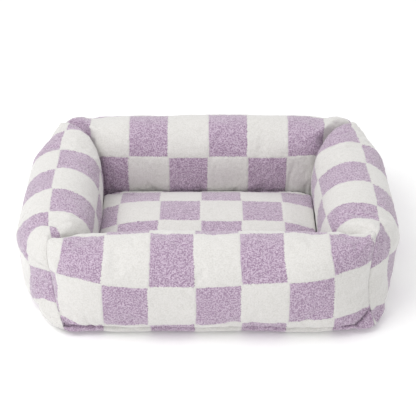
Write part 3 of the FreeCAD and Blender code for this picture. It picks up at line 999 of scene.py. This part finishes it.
def make_floor_pad():
    """The thin sheet of wadding between the floor cloths, rounded at its edges."""
    low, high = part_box("base_wadding")
    loops = []
    middle = 0.5 * (low.z + high.z)
    half_thick = 0.5 * (high.z - low.z - 0.001)
    for turn in np.linspace(-1, 1, 9):
        inset = 0.003 * (1 - math.cos(turn * math.pi / 2))
        height = middle + half_thick * math.sin(turn * math.pi / 2)
        outline = rounded_outline(high.x - 0.001 - inset, high.y - 0.001 - inset, 0.02)
        loops.append([(x, y, height) for x, y in outline])
    for end in (0, -1):
        rim = np.array(loops[end])
        for scale in (0.75, 0.5, 0.25):
            ring = rim * (scale, scale, 1)
            ring[:, 2] += 0.0003 * lattice_noise(ring, 0.03, 7.7)
            loops.insert(0 if end == 0 else len(loops), ring)
    pad = loops_mesh("floor_pad", loops[::-1], (0, 0, loops[0][0][2]))
    close_hole(pad)
    dress(pad, WADDING)
    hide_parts("base_wadding")
    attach(pad, "bed")


def close_hole(piece):
    """Closes the first loop of a loops_mesh, which has no fan of its own."""
    mesh = bmesh.new()
    mesh.from_mesh(piece.data)
    open_edges = [edge for edge in mesh.edges if edge.is_boundary]
    bmesh.ops.holes_fill(mesh, edges=open_edges)
    bmesh.ops.recalc_face_normals(mesh, faces=mesh.faces)
    mesh.to_mesh(piece.data)
    mesh.free()


def make_underside():
    """The non-slip cloth under the bed."""
    outline = rounded_outline(PANEL.x, PANEL.y, UNDER_RADIUS)
    loops = []
    rings = 30
    for ring in range(rings):
        scale = 1 - ring / rings
        loops.append([(x * scale, y * scale, UNDER_TOP) for x, y in outline])
    cloth = loops_mesh("underside_cloth", loops, (0, 0, UNDER_TOP))
    dress(cloth, NONSLIP, UNDER_TOP - DOT_HEIGHT)
    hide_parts("base_bottom_panel")
    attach(cloth, "bed")


def add_dot(vertices, faces, x, y):
    """Adds one rubber dot, which narrows towards the floor."""
    sides = 8
    start = len(vertices)
    for radius, height in ((0.00220, DOT_HEIGHT + 0.0001), (0.00176, 0.00012)):
        for k in range(sides):
            angle = 2 * math.pi * k / sides
            vertices.append((x + radius * math.cos(angle), y + radius * math.sin(angle), height))
    for k in range(sides):
        after = (k + 1) % sides
        faces.append((start + k, start + sides + k, start + sides + after, start + after))
    faces.append(tuple(start + 2 * sides - 1 - k for k in range(sides)))


def make_dots():
    """Small rubber dots on the underside, in staggered rows."""
    pitch = 0.018
    row_pitch = 0.87 * pitch
    margin = 0.022
    half_x, half_y, corner = PANEL.x - margin, PANEL.y - margin, UNDER_RADIUS - margin
    vertices = []
    faces = []
    for row in range(-16, 17):
        for place in range(-19, 20):
            x = (place + 0.5 * (row % 2)) * pitch
            y = row * row_pitch
            if inside_rounded(x, y, half_x, half_y, corner):
                add_dot(vertices, faces, x, y)
    dots = new_object("nonslip_dots", vertices, faces)
    dress(dots, RUBBER)
    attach(dots, "bed")


def add_stitch(vertices, faces, first, last):
    """Adds one stitch of thread between two places, thinner at its ends."""
    run = last - first
    side = np.array([-run[1], run[0]]) / np.linalg.norm(run)
    start = len(vertices)
    for share, width in ((0, 0.3), (0.25, 1), (0.75, 1), (1, 0.3)):
        middle = first + run * share
        for angle in range(0, 360, 60):
            across = 0.00035 * width * math.cos(math.radians(angle))
            rise = 0.00030 * width * math.sin(math.radians(angle))
            vertices.append((*(middle + side * across), 0.00045 + rise))
    for level in range(3):
        for corner in range(6):
            a = start + level * 6 + corner
            b = start + level * 6 + (corner + 1) % 6
            faces.append((a, b, b + 6, a + 6))
    faces.append(tuple(start + corner for corner in range(5, -1, -1)))
    faces.append(tuple(start + 18 + corner for corner in range(6)))


def make_stitches():
    """The row of stitches that holds the underside cloth, 6 mm in from its edge."""
    inset = 0.006
    outline = rounded_outline(PANEL.x - inset, PANEL.y - inset, UNDER_RADIUS - inset)
    ring = np.concatenate([outline, outline[:1]])
    lengths = np.concatenate([[0], np.cumsum(np.hypot(*np.diff(ring, axis=0).T))])
    pitch = 0.005
    vertices = []
    faces = []
    for k in range(int(lengths[-1] / pitch)):
        places = [(k + share) * pitch for share in (0.12, 0.88)]
        first, last = (np.array([np.interp(place, lengths, line) for line in ring.T]) for place in places)
        add_stitch(vertices, faces, first, last)
    stitches = new_object("underside_stitches", vertices, faces)
    dress(stitches, THREAD)
    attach(stitches, "bed")


def finish_hardware():
    """Better finishes for the parts of the zip that keep their CAD shape."""
    for node in ("zip_tape_upper", "zip_tape_lower", "zip_end_stops", "zip_slider", "zip_pull"):
        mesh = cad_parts[node].data
        mesh.materials.clear()
        mesh.materials.append(TAPE if "tape" in node else NICKEL)


# ---- floor, lights and camera
LIGHTS = (
    ("key", (-1.5, -0.9, 2.4), 1.6, 36),
    ("top", (0.2, 0.8, 2.6), 2.2, 10),
    ("fill", (-0.3, -2.6, 1.2), 2.0, 7),
)


def make_studio():
    """A pale floor under a bright white sky, with soft light from above, the left and the front."""
    corners = np.array([[(-8, -6, 0), (8, -6, 0)], [(-8, 9, 0), (8, 9, 0)]])
    floor = sheet_mesh("studio_floor", corners)
    finish = {"Base Color": (0.92, 0.92, 0.92, 1), "Roughness": 0.7}
    finish |= {"Emission Color": (1, 1, 1, 1), "Emission Strength": 0.12}
    dress(floor, Graph("studio_white", finish).material)
    world = bpy.data.worlds.new("studio")
    world.use_nodes = True
    sky = world.node_tree.nodes["Background"]
    sky.inputs[0].default_value = (1.0, 1.0, 1.0, 1)
    sky.inputs[1].default_value = 0.72
    bpy.context.scene.world = world
    for light in LIGHTS:
        add_area(*light)


def add_area(name, place, size, power):
    """A square soft light that looks at the middle of the bed."""
    light = bpy.data.lights.new(name, "AREA")
    light.size = size
    light.energy = power
    lamp = add_object(name, light)
    lamp.location = place
    lamp.rotation_euler = (Vector((0, 0, 0.08)) - lamp.location).to_track_quat("-Z", "Y").to_euler()


def make_camera():
    """The camera, on the bed's own middle plane and looking down at it."""
    elevation = math.radians(31.1)
    distance = 2.656
    aim = Vector((0, 0.037, 0.0772))
    data = bpy.data.cameras.new("camera")
    data.lens = 118.9
    data.sensor_width = 36
    camera = add_object("camera", data)
    camera.location = aim + distance * Vector((0, -math.cos(elevation), math.sin(elevation)))
    camera.rotation_euler = (aim - camera.location).to_track_quat("-Z", "Y").to_euler()
    bpy.context.scene.camera = camera


# ---- build
for wall in ("front", "back", "left", "right"):
    make_wall(wall)
make_cushion_top()
make_cushion_base()
for coil in ("upper", "lower"):
    make_coil(coil)
make_label()
make_floor_pad()
make_floor_cloth()
make_underside()
make_stitches()
make_dots()
finish_hardware()
make_studio()
make_camera()
bpy.context.scene.view_settings.view_transform = "Standard"

# ---- last update of the view layer
bpy.context.view_layer.update()
